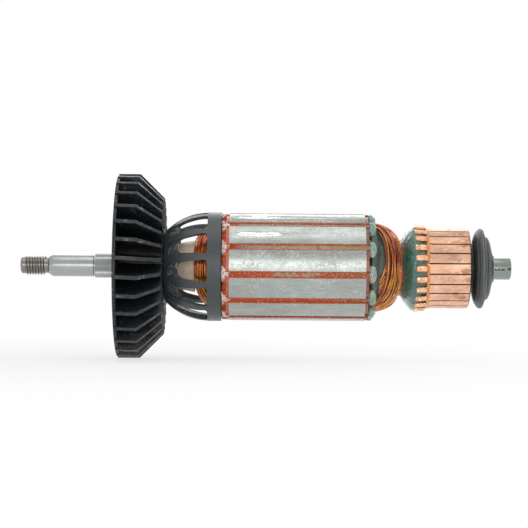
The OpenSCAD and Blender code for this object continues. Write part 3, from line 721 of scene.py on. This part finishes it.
def onRing(r, degrees, x):  # 0 degrees points at -Y and angles grow downwards
    a = math.radians(degrees)
    return Vector((x, -r * math.cos(a), -r * math.sin(a)))


def lerp(a, b, t):
    return a + (b - a) * t


shaftShape = {"threadR": 3.62, "threadRootR": 2.98, "pitch": 1.0, "threadTurns": 7, "grooveR": 2.8,
              "journalR": 4.0, "knurlR": 4.33, "knurlRootR": 4.2, "teeth": 84, "seatR": 5.0}


def makeShaft():
    s = shaftShape
    threadX, threadEndX = tipX + 1.9, -11.0
    outline = [(tipX, 0), (tipX, 2.3), (tipX + 0.25, 2.75), (tipX + 0.7, 3.02), (tipX + 1.7, 3.02),
               (threadX, s["threadRootR"]), (threadEndX, s["threadRootR"]), (-10.8, s["grooveR"]),
               (-9.3, s["grooveR"]), (-9.0, 3.2), (-7.75, 3.9), (-7.3, s["journalR"]),
               (7.25, s["journalR"]), (7.4, 3.85), (7.45, 3.6), (7.75, 3.6), (7.8, s["knurlRootR"] - 0.05),
               (fanX + 1.0, s["knurlRootR"] - 0.05), (fanX + 1.2, s["seatR"] - 0.3),
               (fanEndX, s["seatR"]), (shieldEndX, s["seatR"]), (shieldEndX, s["journalR"]),
               (rearX - 0.6, s["journalR"]), (rearX - 0.25, s["journalR"] - 0.18),
               (rearX, s["journalR"] - 0.6), (rearX, 0)]
    bm = bmesh.new()
    spinOutline(bm, outline, 96, closed=False)
    shaft = addPiece("shaftBar", bm, finishes["shaft"])
    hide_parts("shaft")

    bm = bmesh.new()
    steps = 40
    tooth = [(-0.46, s["threadRootR"] - 0.1), (-0.08, s["threadR"]), (0.08, s["threadR"]),
             (0.46, s["threadRootR"] - 0.1)]
    ring = [bm.verts.new((threadX + x, 0, r)) for x, r in tooth]
    edges = [bm.edges.new(pair) for pair in zip(ring, ring[1:] + ring[:1])]
    bm.faces.new(ring)
    bmesh.ops.spin(bm, geom=ring + edges, cent=(0, 0, 0), axis=(1, 0, 0),
                   dvec=(s["pitch"] / steps, 0, 0), angle=math.tau * s["threadTurns"],
                   steps=steps * s["threadTurns"], use_merge=False, use_duplicate=False)
    bmesh.ops.holes_fill(bm, edges=bm.edges, sides=6)
    bmesh.ops.recalc_face_normals(bm, faces=bm.faces)
    addPiece("noseThread", bm, finishes["shaft"])

    bm = bmesh.new()
    bmesh.ops.create_circle(bm, cap_ends=True, segments=s["teeth"] * 2, radius=s["knurlR"])
    for vert in bm.verts:
        if vert.index % 2:
            vert.co *= s["knurlRootR"] / s["knurlR"]
    bmesh.ops.rotate(bm, verts=bm.verts, cent=(0, 0, 0), matrix=Matrix.Rotation(math.pi / 2, 3, "Y"))
    bmesh.ops.translate(bm, verts=bm.verts, vec=(7.85, 0, 0))
    for length, grow in ((0.25, 1.0), (fanX - 7.5, 1.0), (0.2, 0.97)):
        face = [f for f in bm.faces if f.normal.x > 0.9 or len(bm.faces) == 1]
        made = bmesh.ops.extrude_face_region(bm, geom=face[-1:])
        verts = [v for v in made["geom"] if isinstance(v, bmesh.types.BMVert)]
        bmesh.ops.translate(bm, verts=verts, vec=(length, 0, 0))
        bmesh.ops.scale(bm, verts=verts, vec=(1, grow, grow))
        bmesh.ops.delete(bm, geom=face[-1:], context="FACES_ONLY")
        bm.normal_update()
    bmesh.ops.recalc_face_normals(bm, faces=bm.faces)
    addPiece("fanKnurl", bm, finishes["shaft"], smooth=15.0)


shieldShape = {"steps": 96, "outline": [
    (-0.35, 5.0), (-0.35, 8.6), (-0.2, 10.3), (0.2, 11.9), (0.6, 12.9), (1.1, 13.7), (1.6, 14.25), (2.0, 14.5),
    (2.4, 14.6), (2.85, 14.5), (3.15, 14.25), (3.45, 13.5), (3.7, 12.8), (3.95, 12.1), (4.15, 11.65), (4.4, 11.5),
    (4.75, 11.4), (5.1, 11.1), (5.4, 10.5), (5.65, 9.9), (5.95, 8.7), (6.15, 7.8), (6.45, 6.7), (6.75, 5.7),
    (7.0, 5.0), (7.25, 4.6)]}


def makeShield():
    bm = bmesh.new()
    spinOutline(bm, [(shieldX + x, r) for x, r in shieldShape["outline"]], shieldShape["steps"])
    waveOut(bm, 0.08, 0.9, 9.0, shieldEndX - 1)
    shield = addPiece("rubberShield", bm, finishes["dust_shield"], smooth=60.0)
    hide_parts("dust_shield")


collarShape = {"steps": 144, "wave": 0.22, "outline": [
    (-0.1, 6.3), (-0.1, 12.7), (0.4, 13.45), (1.0, 14.25), (1.6, 14.9), (2.1, 15.3), (2.6, 15.5), (3.1, 15.5),
    (3.6, 15.35), (4.2, 15.1), (5.0, 14.85), (5.8, 14.6), (6.6, 14.4), (7.15, 14.3),
    (7.2, 13.0), (1.4, 13.0), (1.4, 6.3)]}
neckShape = {"steps": 96, "wave": 0.3, "outline": [
    (-0.8, 6.3), (-0.8, 9.4), (-0.3, 10.05), (0.3, 10.2), (0.8, 10.3), (1.3, 10.75), (1.8, 11.4), (2.3, 12.15),
    (2.8, 12.95), (2.85, 6.3)]}
hookShape = {"length": 4.5, "width": 2.15, "deep": 1.3, "round": 0.5, "slope": 0.17, "top": 15.95}
ringShape = {"steps": 192, "outline": [
    (-0.15, 14.1), (-0.12, 14.8), (0.05, 14.98), (0.3, 14.98), (0.6, 14.86), (0.95, 14.62), (1.0, 14.1)]}


def waveOut(bm, amount, scale, above, ahead):
    for vert in bm.verts:
        radial = Vector((0, vert.co.y, vert.co.z))
        if radial.length > above and vert.co.x < ahead:
            vert.co += radial.normalized() * amount * noise.noise(vert.co * scale)


def makeCollar():
    c = collarShape
    bm = bmesh.new()
    spinOutline(bm, [(collarX + x, r) for x, r in c["outline"]], c["steps"])
    waveOut(bm, c["wave"], 0.5, 13.4, barX - 0.3)
    collar = addPiece("resinCollar", bm, finishes["resin_collar"], smooth=60.0)
    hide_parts("resin_collar")

    n = neckShape
    bm = bmesh.new()
    spinOutline(bm, [(neckX + x, r) for x, r in n["outline"]], n["steps"])
    waveOut(bm, n["wave"], 0.4, 9.0, collarX - 0.2)
    neck = addPiece("leadNeck", bm, finishes["lead_bundle"], smooth=60.0)
    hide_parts("lead_bundle")

    bm = bmesh.new()
    spinOutline(bm, [(barX + x, r) for x, r in ringShape["outline"]], ringShape["steps"])
    waveOut(bm, 0.09, 1.4, 14.5, barX + 2)
    addPiece("shoulderRing", bm, extras["shoulder"], smooth=60.0)

    h = hookShape
    bm = bmesh.new()
    for i in range(bars["count"]):
        made = bmesh.ops.create_cube(bm, size=1.0)["verts"]
        long = h["length"] + chance.uniform(-0.35, 0.25)
        bmesh.ops.scale(bm, verts=made, vec=(long, h["width"] * chance.uniform(0.92, 1.04), h["deep"]))
        ends = [e for v in made for e in v.link_edges if v.co.x < 0 or v.co.z > 0]
        soft = bmesh.ops.bevel(bm, geom=list(set(ends)), offset=h["round"], segments=3, profile=0.5,
                               affect="EDGES", material=-1)
        made = list({v for f in soft["faces"] for v in f.verts} | {v for v in made if v.is_valid})
        bmesh.ops.translate(bm, verts=made, vec=(barX + 0.25 - long / 2, 0, h["top"] - h["deep"] / 2))
        for vert in made:
            vert.co.z -= h["slope"] * max(vert.co.x - barX + 2.6, 0) + 0.25 * max(barX - 3.4 - vert.co.x, 0)
        turn = math.radians(90 + bars["phase"] + i * bars["pitch"] + chance.uniform(-0.5, 0.5))
        bmesh.ops.rotate(bm, verts=made, cent=(0, 0, 0), matrix=Matrix.Rotation(turn, 3, "X"))
    bmesh.ops.recalc_face_normals(bm, faces=bm.faces)
    addPiece("barHooks", bm, extras["hook"], smooth=50.0)


headShape = {"rearReach": 12.0, "frontReach": 11.2, "layers": 6, "span": 5, "crest": 0.69,
             "crestHalf": 0.29, "strands": 17, "points": 25, "wireR": 0.2, "sunk": 1.1}


def domePoint(u, v, reach):
    floorR = lerp(tubeR + 2.8, coreR - 3.5, u)
    crestR = lerp(tubeR + 0.7, tubeR + 3.1, u)
    height = lerp(0.4 * reach, reach, u)
    r = lerp(crestR, floorR, max(math.cos(math.pi / 2 * v), 0) ** 1.25)
    return r, height * math.sin(math.pi / 2 * v), 1.2 * math.hypot(height, floorR - crestR)


def strandPoint(layer, middleAngle, t, across, rise, reach, faceX, side):
    h = headShape
    u = (layer - 0.5) / h["layers"]
    halfSpan = h["span"] * slots["pitch"] / 2
    v = h["crest"] * math.cos(t)
    r, _, length = domePoint(u, v, reach)
    floorR = domePoint(u, 0, reach)[0]
    slotHalf = floorR * math.tan(math.radians(slots["pitch"] / 2)) - slots["toothWidth"] / 2 / math.cos(
        math.radians(slots["pitch"] / 2)) - 0.4
    halfWidth = lerp(slotHalf, h["crestHalf"] * length, max(math.cos(t), 0) ** 0.8)
    heading = Vector((r * math.radians(halfSpan) * math.cos(t), -length * h["crest"] * math.sin(t))).normalized()
    w = across * halfWidth
    q = domePoint(u + rise * 0.4 / h["layers"], max(v + heading[0] * w / length, 0), reach)
    turn = math.degrees(-heading[1] * w / r)
    return onRing(q[0], middleAngle + halfSpan * math.sin(t) + turn, faceX + side * q[1])


def makeWires():
    h = headShape
    curve = bpy.data.curves.new("windingWires", "CURVE")
    curve.dimensions = "3D"
    curve.bevel_depth = h["wireR"] * mm
    curve.bevel_resolution = 1
    tones = []
    for k in range(1, slots["count"] + 1):
        layer = (k + 2) % h["layers"] + 1
        first = slots["phase"] + k * slots["pitch"]
        middleAngle = first + h["span"] * slots["pitch"] / 2
        for side, faceX, reach in ((1, rearFaceX, h["rearReach"]), (-1, frontFaceX, h["frontReach"])):
            for s in range(h["strands"]):
                across = -0.96 + 1.92 * s / (h["strands"] - 1) + chance.uniform(-0.05, 0.05)
                rise = h["sunk"] + chance.uniform(-0.3, 0.45)
                sway, beat, shift = chance.uniform(0, 0.22), chance.uniform(0.8, 2.4), chance.uniform(0, math.tau)
                spline = curve.splines.new("POLY")
                spline.points.add(h["points"] - 1)
                for i in range(h["points"]):
                    t = lerp(-math.pi / 2, math.pi / 2, i / (h["points"] - 1))
                    swing = across + sway * math.sin(beat * t + shift)
                    lift = rise + 0.35 * (s % 2) * (1 - math.cos(t)) + 0.15 * math.sin(3 * t + shift)
                    spot = strandPoint(layer, middleAngle, t, max(min(swing, 1.05), -1.05), lift, reach, faceX, side)
                    spline.points[i].co = (*(spot * mm), 1)
                tones.append(chance.random())
    carrier = bpy.data.objects.new("windingWires", curve)
    bpy.context.scene.collection.objects.link(carrier)
    bpy.context.view_layer.update()
    mesh = bpy.data.meshes.new_from_object(carrier.evaluated_get(bpy.context.evaluated_depsgraph_get()))
    bpy.data.objects.remove(carrier)
    wires = bpy.data.objects.new("windingWires", mesh)
    bpy.context.scene.collection.objects.link(wires)
    mesh.materials.clear()
    mesh.materials.append(extras["wire"])
    mesh.shade_smooth()
    tone = mesh.attributes.new("tone", "FLOAT", "POINT")
    each = len(mesh.vertices) // len(tones)
    tone.data.foreach_set("value", [tones[i // each] for i in range(len(mesh.vertices))])
    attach(wires, "root")
    print("wires:", len(tones), "faces:", len(mesh.polygons))


lumpShape = {"across": 6.6, "along": 3.6, "deep": 4.2, "r": 17.3, "x": 0.75}


def makeLumps():  # blobs of resin that close the rear ends of the slots
    s = lumpShape
    bm = bmesh.new()
    # this layer marks the dents, where shade is painted
    creaseShade = bm.verts.layers.float.new("creaseShade")
    for i in range(slots["count"]):
        angle = slots["phase"] + i * slots["pitch"]
        made = bmesh.ops.create_uvsphere(bm, u_segments=40, v_segments=26, radius=1.0)["verts"]
        squash = chance.uniform(0.9, 1.04)
        fold, side = chance.uniform(0.42, 0.52), chance.uniform(-0.15, 0.15)
        for vert in made:  # local z points outwards, x runs along the shaft
            x, y, z = vert.co
            away = math.hypot(x * 1.15, (y - side) * 0.95)
            if z > 0:
                ridge = math.exp(-((away - fold) / 0.085) ** 2)
                dent = math.exp(-((away - fold - 0.17) / 0.07) ** 2) + 0.8 * math.exp(-((away - fold + 0.2) / 0.1) ** 2)
                z += 0.10 * ridge - 0.13 * dent * (1 - away ** 6)
                vert[creaseShade] = min(dent * (1 - away ** 4), 1.0)
            edge = 1 + 0.035 * math.sin(11 * math.atan2(y, x) + i) * away ** 3
            wobble = edge * (1 + 0.07 * noise.noise(Vector((x * 1.6 + i * 5, y * 1.6, z * 1.6))))
            vert.co = Vector((x * s["along"] / 2 * wobble, y * s["across"] / 2 * squash * wobble, z * s["deep"] / 2))
        a = math.radians(angle)
        out = Vector((0, -math.cos(a), -math.sin(a)))
        sideways = Vector((0, math.sin(a), -math.cos(a)))
        turned = Matrix((Vector((1, 0, 0)), sideways, out)).transposed()
        bmesh.ops.transform(bm, matrix=turned.to_4x4(), verts=made)
        bmesh.ops.translate(bm, verts=made, vec=Vector((rearFaceX + s["x"], 0, 0)) + out * s["r"])
    bmesh.ops.recalc_face_normals(bm, faces=bm.faces)
    addPiece("slotLumps", bm, extras["lump"], smooth=60.0)


def cutShort(name, node, x):  # a copy of a CAD node that ends at x
    bm = bmesh.new()
    bm.from_mesh(cadNodes[node].data)
    bmesh.ops.scale(bm, verts=bm.verts, vec=(1 / mm, 1 / mm, 1 / mm))
    bmesh.ops.remove_doubles(bm, verts=bm.verts, dist=2e-4)
    cut = bmesh.ops.bisect_plane(bm, geom=bm.verts[:] + bm.edges[:] + bm.faces[:], dist=1e-4,
                                 plane_co=(x, 0, 0), plane_no=(1, 0, 0), clear_outer=True)
    rim = [e for e in cut["geom_cut"] if isinstance(e, bmesh.types.BMEdge)]
    bmesh.ops.holes_fill(bm, edges=rim, sides=0)
    piece = addPiece(name, bm, finishes[node])
    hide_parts(node)


def makeWedges():  # the lumps cover the rear ends of the slots, the shield's hub the rear of the moulding
    cutShort("slotClosings", "slot_wedges", rearFaceX + 0.2)
    cutShort("barMoulding", "commutator_body", barEndX + 0.05)
    bm = bmesh.new()
    # this hub takes the moulding finish, which paints it black: painted shade
    spinOutline(bm, [(barEndX - 1.0, 5.2), (barEndX - 1.0, 7.9), (shieldX - 0.1, 7.9), (shieldX - 0.1, 5.2)], 64)
    addPiece("mouldingHub", bm, finishes["commutator_body"], smooth=60.0)


cuffShape = {"width": 6.4, "neck": 1.7, "length": 1.6, "cells": 24, "crumple": 0.55, "sheet": 0.12}


def makeCuffs():  # crumpled ends of the slot film in front of the core
    s = cuffShape
    bm = bmesh.new()
    for i in range(slots["count"]):
        angle = slots["phase"] + i * slots["pitch"]
        for lift, flare in ((18.75, 0.2), (19.2, 0.0)):
            made = bmesh.ops.create_grid(bm, x_segments=10, y_segments=s["cells"], size=0.5)["verts"]
            for vert in made:
                x, y = vert.co.x + 0.5, vert.co.y * 2
                width = lerp(s["width"], s["neck"], x ** 0.7)
                spot = Vector((x * 2.5, y * 3.5 + i * 9, lift * 3))
                crumple = s["crumple"] * noise.noise(spot) + 0.22 * math.sin(y * 11 + i * 2 + lift)
                r = lift + (1 - x) * flare + crumple * (1 - 0.6 * x) - 0.5 * y * y
                ragged = 0.5 * noise.noise(Vector((y * 4, i * 3.3, lift * 2)))
                vert.co = onRing(min(r, coreR - 0.2), angle + math.degrees(y * width / 2 / lift),
                                 frontFaceX - s["length"] + 0.5 + x * (s["length"] + 1.1) + ragged * (1 - x))
    bmesh.ops.recalc_face_normals(bm, faces=bm.faces)
    cuffs = addPiece("filmCuffs", bm, extras["filmEnd"], smooth=40.0)
    addModifier(cuffs, "SOLIDIFY", thickness=s["sheet"] * mm, offset=0.0)

    bm = bmesh.new()
    outline = [(frontFaceX - 1.15, 16.6), (frontFaceX - 1.15, 17.6), (frontFaceX - 0.7, 17.95),
               (frontFaceX + 0.2, 18.2), (frontFaceX + 0.2, 16.6)]
    spinOutline(bm, outline, 240)
    for vert in bm.verts:
        if vert.co.x < frontFaceX - 0.4:
            vert.co.x += 0.45 * noise.noise(vert.co * 0.9)
    waveOut(bm, 0.45, 0.7, 17.3, frontFaceX)
    addPiece("filmRing", bm, finishes["slot_liners"], smooth=40.0)


guardShape = {"arcR": 22.1, "arcEnd": 16.3, "skin": 0.62, "wall": 1.3, "collarR": 8.4, "windows": 12, "phase": 4.6,
              "panelFront": 1.3, "windowFront": 5.1, "windowEnd": 15.65, "frontHalf": 2.2, "rearHalf": 4.2}


def guardRadius(x, inset):
    g = guardShape
    return guardR - g["arcR"] + math.sqrt(g["arcR"] ** 2 - max(g["arcEnd"] - x, 0) ** 2) - inset


def guardShell(name, finish, outer, inner, front, frontRound, low=0.0):
    g = guardShape
    length = guardEndX - guardX
    stops = [g["arcEnd"] * i / 26 for i in range(27)] + [length]
    outline = [(guardX, g["collarR"])] + [(guardX + x, guardRadius(x, outer)) for x in stops]
    outline += [(guardX + x, guardRadius(x, inner)) for x in reversed(stops) if x > 1.3 + low]
    outline.append((guardX + 1.3 + low, g["collarR"]))
    bm = bmesh.new()
    spinOutline(bm, outline, 144)
    shell = addPiece(name, bm, finish)
    bm = bmesh.new()
    half = lambda x: lerp(g["frontHalf"], g["rearHalf"], (x - g["panelFront"]) / (g["windowEnd"] - g["panelFront"]))
    corners = [(front, -half(front)), (front, half(front)), (g["windowEnd"], half(g["windowEnd"])),
               (g["windowEnd"], -half(g["windowEnd"]))]
    face = bm.faces.new([bm.verts.new((guardX + x, y, 9.8)) for x, y in corners])
    verts = face.verts[:]
    bmesh.ops.bevel(bm, geom=verts[:2], offset=frontRound, segments=7, profile=0.5, affect="VERTICES", material=-1)
    rear = [v for v in bm.verts if v.co.x > guardX + g["windowEnd"] - 0.01]
    bmesh.ops.bevel(bm, geom=rear, offset=1.25, segments=6, profile=0.5, affect="VERTICES", material=-1)
    made = bmesh.ops.extrude_face_region(bm, geom=bm.faces[:])
    bmesh.ops.translate(bm, verts=[v for v in made["geom"] if isinstance(v, bmesh.types.BMVert)], vec=(0, 0, 13))
    bmesh.ops.recalc_face_normals(bm, faces=bm.faces)
    first = bm.verts[:] + bm.edges[:] + bm.faces[:]
    turn = Matrix.Rotation(math.radians(90 + g["phase"]), 3, "X")
    bmesh.ops.rotate(bm, verts=bm.verts, cent=(0, 0, 0), matrix=turn)
    for i in range(1, g["windows"]):
        copied = bmesh.ops.duplicate(bm, geom=first)["geom"]
        bmesh.ops.rotate(bm, verts=[v for v in copied if isinstance(v, bmesh.types.BMVert)], cent=(0, 0, 0),
                         matrix=Matrix.Rotation(math.tau * i / g["windows"], 3, "X"))
    bmesh.ops.scale(bm, verts=bm.verts, vec=(mm, mm, mm))
    mesh = bpy.data.meshes.new("windowCutter")
    bm.to_mesh(mesh)
    bm.free()
    cutter = bpy.data.objects.new("windowCutter", mesh)
    bpy.context.scene.collection.objects.link(cutter)
    addModifier(shell, "BOOLEAN", object=cutter, operation="DIFFERENCE", solver="EXACT")
    bpy.context.view_layer.update()
    carved = bpy.data.meshes.new_from_object(shell.evaluated_get(bpy.context.evaluated_depsgraph_get()))
    shell.modifiers.clear()
    shell.data = carved
    bpy.data.objects.remove(cutter)
    carved.shade_smooth()
    carved.set_sharp_from_angle(angle=math.radians(35))
    addModifier(shell, "BEVEL", width=0.14 * mm, segments=2, limit_method="ANGLE", angle_limit=math.radians(40))
    return shell


def makeGuard():
    g = guardShape
    outer = guardShell("guardRibs", finishes["winding_guard"], 0.0, g["skin"] + 0.03, g["panelFront"], 0.5)
    guardShell("guardWall", extras["panel"], g["skin"], g["wall"], g["windowFront"], 2.3, 0.05)
    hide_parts("winding_guard")


def makeUnderlay():  # dark resin under the rear winding
    bm = bmesh.new()
    outline = []
    for i in range(9):
        r, l, _ = domePoint(0.80, i / 8 * 0.9, headShape["rearReach"])
        outline.append((rearFaceX + l, r))
    outline = [(rearFaceX - 0.2, tubeR + 1.5), (rearFaceX - 0.2, coreR - 2.2), (rearFaceX + 1.6, coreR - 2.3)] + outline[2:]
    outline.append((outline[-1][0] - 0.8, tubeR + 1.5))
    spinOutline(bm, outline, 72)
    for vert in bm.verts:
        radial = Vector((0, vert.co.y, vert.co.z))
        vert.co += radial.normalized() * 0.45 * noise.noise(vert.co * 0.45)
    piece = addPiece("windingResin", bm, extras["darkResin"], smooth=60.0)
    roundOff(piece, 1)


makeShaft()
makeShield()
makeCollar()
print("shaft, shield and collar made")
fanWheel = softCopy("fanWheel", ["fan"], "fan", 0.13)
# the bevel faces take the lighter edge colour: painted highlight
fanWheel.data.materials.append(extras["fanEdge"])
fanWheel.modifiers["bevel"].material = 1
makeGuard()
softCopy("coreStack", ["lamination_stack"], "lamination_stack", 0.12)
softCopy("copperBars", ["commutator_bar_%02d" % k for k in range(1, bars["count"] + 1)], "commutator_bars", 0.10)
print("softened copies made")
makeWires()
makeLumps()
makeWedges()
makeCuffs()
makeUnderlay()
print("winding details made")
